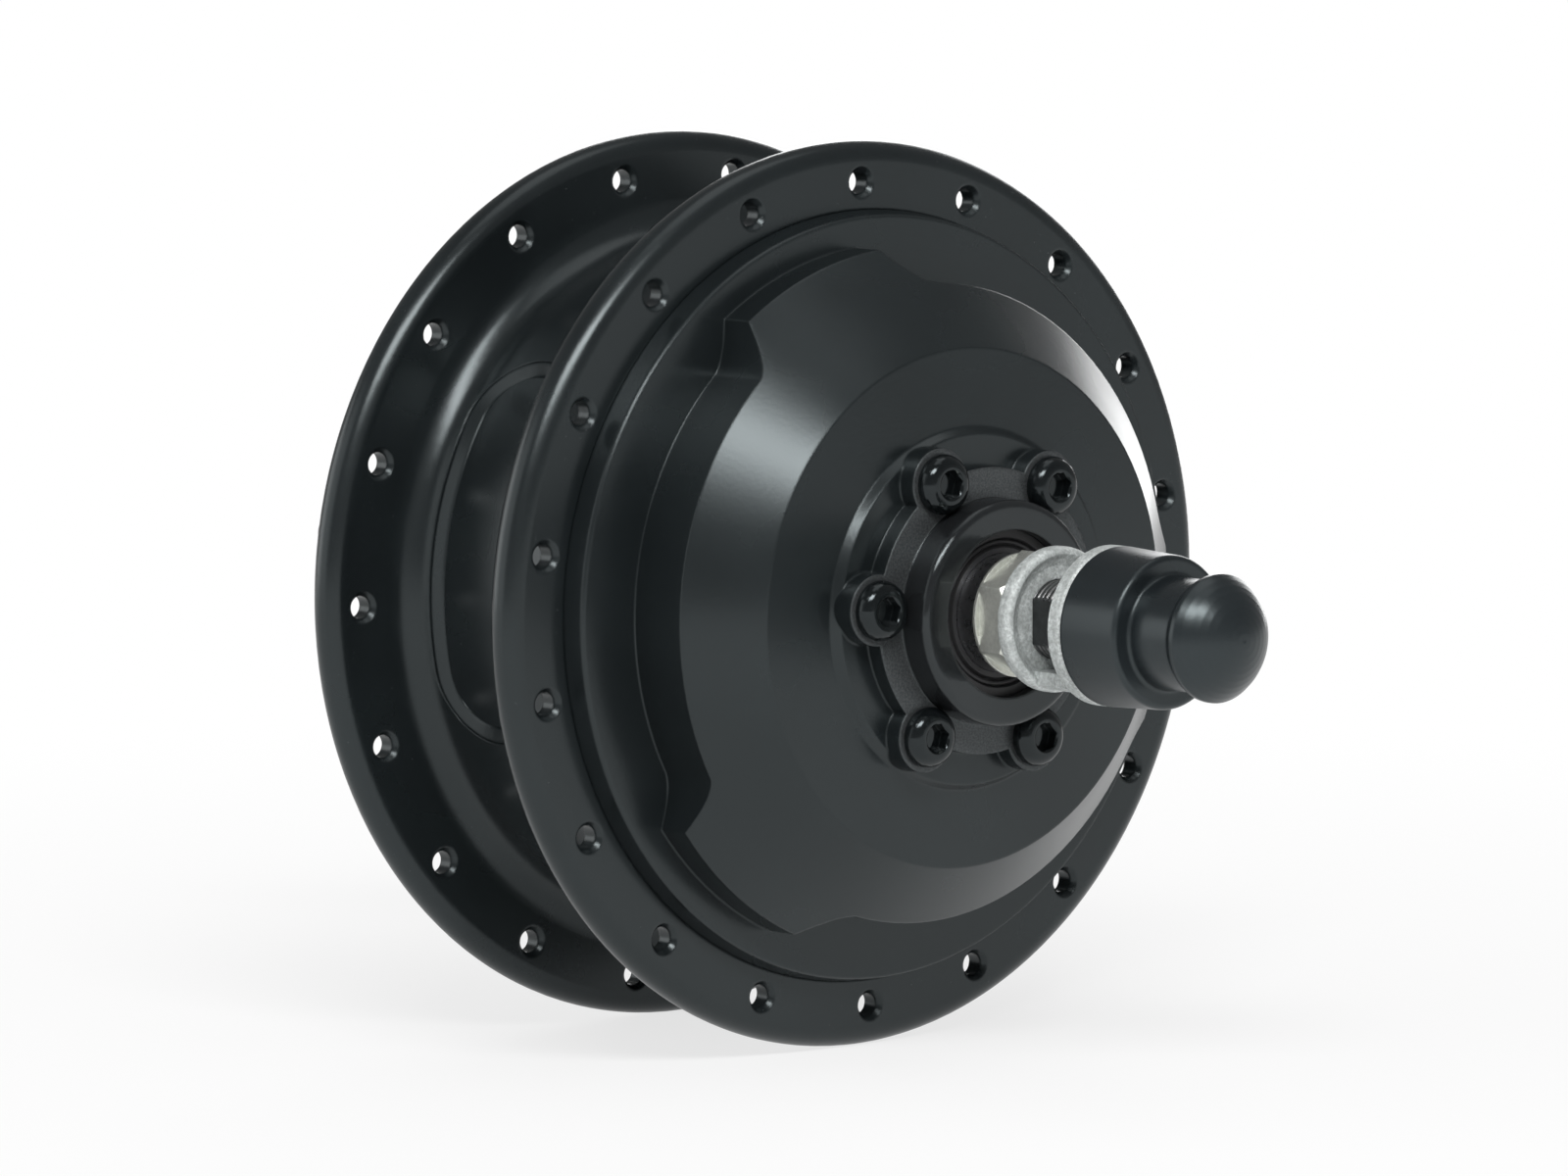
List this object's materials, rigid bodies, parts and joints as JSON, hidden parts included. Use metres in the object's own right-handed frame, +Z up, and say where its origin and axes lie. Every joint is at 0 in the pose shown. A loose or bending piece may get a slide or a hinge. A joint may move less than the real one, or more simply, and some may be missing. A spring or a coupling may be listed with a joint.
{
  "type": "geared rear hub motor",
  "caption": "Geared rear hub motor: two-flange shell with a lobed disc side cover, freewheel boss, flatted axle with its hardware, and planetary gears inside.",
  "frame": {"origin": "on the wheel's axis, midway between the outer faces of the two lock nuts, which is also midway between the object's two ends", "axes": "+Y along the axle towards the drive (freewheel) side, -Y towards the brake disc side, +Z up with the torque washers' tabs pointing down"},
  "size_m": [0.14, 0.22, 0.14],
  "materials": {
    "shell_paint": "satin black powder coat on cast aluminium",
    "black_screws": "glossy black oxide",
    "steel": "ground steel",
    "bearing_steel": "polished bearing steel",
    "axle_steel": "blackened steel",
    "seal_rubber": "smooth black nitrile",
    "rubber": "satin black moulded rubber",
    "nut_zinc": "pale zinc plating",
    "washer_zinc": "matte grainy zinc plating",
    "cast_aluminium": "machined casting",
    "lamination_steel": "stacked laminations",
    "copper_wire": "enamelled copper wire",
    "circuit_board": "green solder mask",
    "magnet": "nickel plated magnet",
    "nylon": "moulded nylon"
  },
  "bodies": {
    "axle_group": {"axle": "axle_steel", "cable_grommet": "rubber", "axle_cap": "rubber", "disc_side_lock_nut": "nut_zinc", "drive_side_lock_nut": "nut_zinc", "disc_side_torque_washer": "washer_zinc", "drive_side_torque_washer": "washer_zinc", "disc_side_washer": "washer_zinc", "drive_side_washer": "washer_zinc", "disc_side_axle_nut": "nut_zinc", "drive_side_axle_nut": "nut_zinc", "disc_side_sleeve": "steel", "drive_side_sleeve": "steel", "bearing_spacer": "steel", "disc_bearing_inner_race": "bearing_steel", "drive_bearing_inner_race": "bearing_steel", "rotor_disc_bearing_inner_race": "bearing_steel", "rotor_drive_bearing_inner_race": "bearing_steel", "disc_bearing_balls": "bearing_steel", "drive_bearing_balls": "bearing_steel", "rotor_disc_bearing_balls": "bearing_steel", "rotor_drive_bearing_balls": "bearing_steel", "stator_hub": "cast_aluminium", "stator_core": "lamination_steel", "stator_coils": "copper_wire", "hall_board": "circuit_board", "planet_pins": "steel", "planet_carrier": "cast_aluminium", "clutch_cam": "steel", "clutch_rollers": "bearing_steel", "clutch_key": "steel", "clutch_spacer": "steel", "thrust_washer": "steel"},
    "shell_group": {"hub_shell": "shell_paint", "side_cover": "shell_paint", "disc_screws": "black_screws", "ring_gear": "steel", "disc_side_seal": "seal_rubber", "drive_side_seal": "seal_rubber", "disc_bearing_outer_race": "bearing_steel", "drive_bearing_outer_race": "bearing_steel"},
    "rotor_group": {"rotor_can": "steel", "rotor_magnets": "magnet", "rotor_gear_plate": "cast_aluminium", "rotor_end_plate": "cast_aluminium", "rotor_disc_bearing_outer_race": "bearing_steel", "rotor_drive_bearing_outer_race": "bearing_steel", "sun_gear": "steel"},
    "planet_1_group": {"planet_gear_1": "nylon", "planet_bearing_1": "bearing_steel"},
    "planet_2_group": {"planet_gear_2": "nylon", "planet_bearing_2": "bearing_steel"},
    "planet_3_group": {"planet_gear_3": "nylon", "planet_bearing_3": "bearing_steel"}
  },
  "joints": [
    {"name": "shell_spin", "type": "hinge", "parent": "axle_group", "child": "shell_group", "pos_m": [0, 0, 0], "axis": [0, 1, 0], "continuous": true},
    {"name": "rotor_spin", "type": "hinge", "parent": "axle_group", "child": "rotor_group", "pos_m": [0, 0, 0], "axis": [0, 1, 0], "continuous": true},
    {"name": "planet_1_spin", "type": "hinge", "parent": "axle_group", "child": "planet_1_group", "pos_m": [0, -0.019, 0.027], "axis": [0, 1, 0], "continuous": true},
    {"name": "planet_2_spin", "type": "hinge", "parent": "axle_group", "child": "planet_2_group", "pos_m": [-0.02338, -0.019, -0.0135], "axis": [0, 1, 0], "continuous": true},
    {"name": "planet_3_spin", "type": "hinge", "parent": "axle_group", "child": "planet_3_group", "pos_m": [0.02338, -0.019, -0.0135], "axis": [0, 1, 0], "continuous": true}
  ],
  "couplings": [
    {"joint": "rotor_spin", "follows": "shell_spin", "ratio": -4.4},
    {"joint": "planet_1_spin", "follows": "shell_spin", "ratio": 2.5882},
    {"joint": "planet_2_spin", "follows": "shell_spin", "ratio": 2.5882},
    {"joint": "planet_3_spin", "follows": "shell_spin", "ratio": 2.5882}
  ]
}
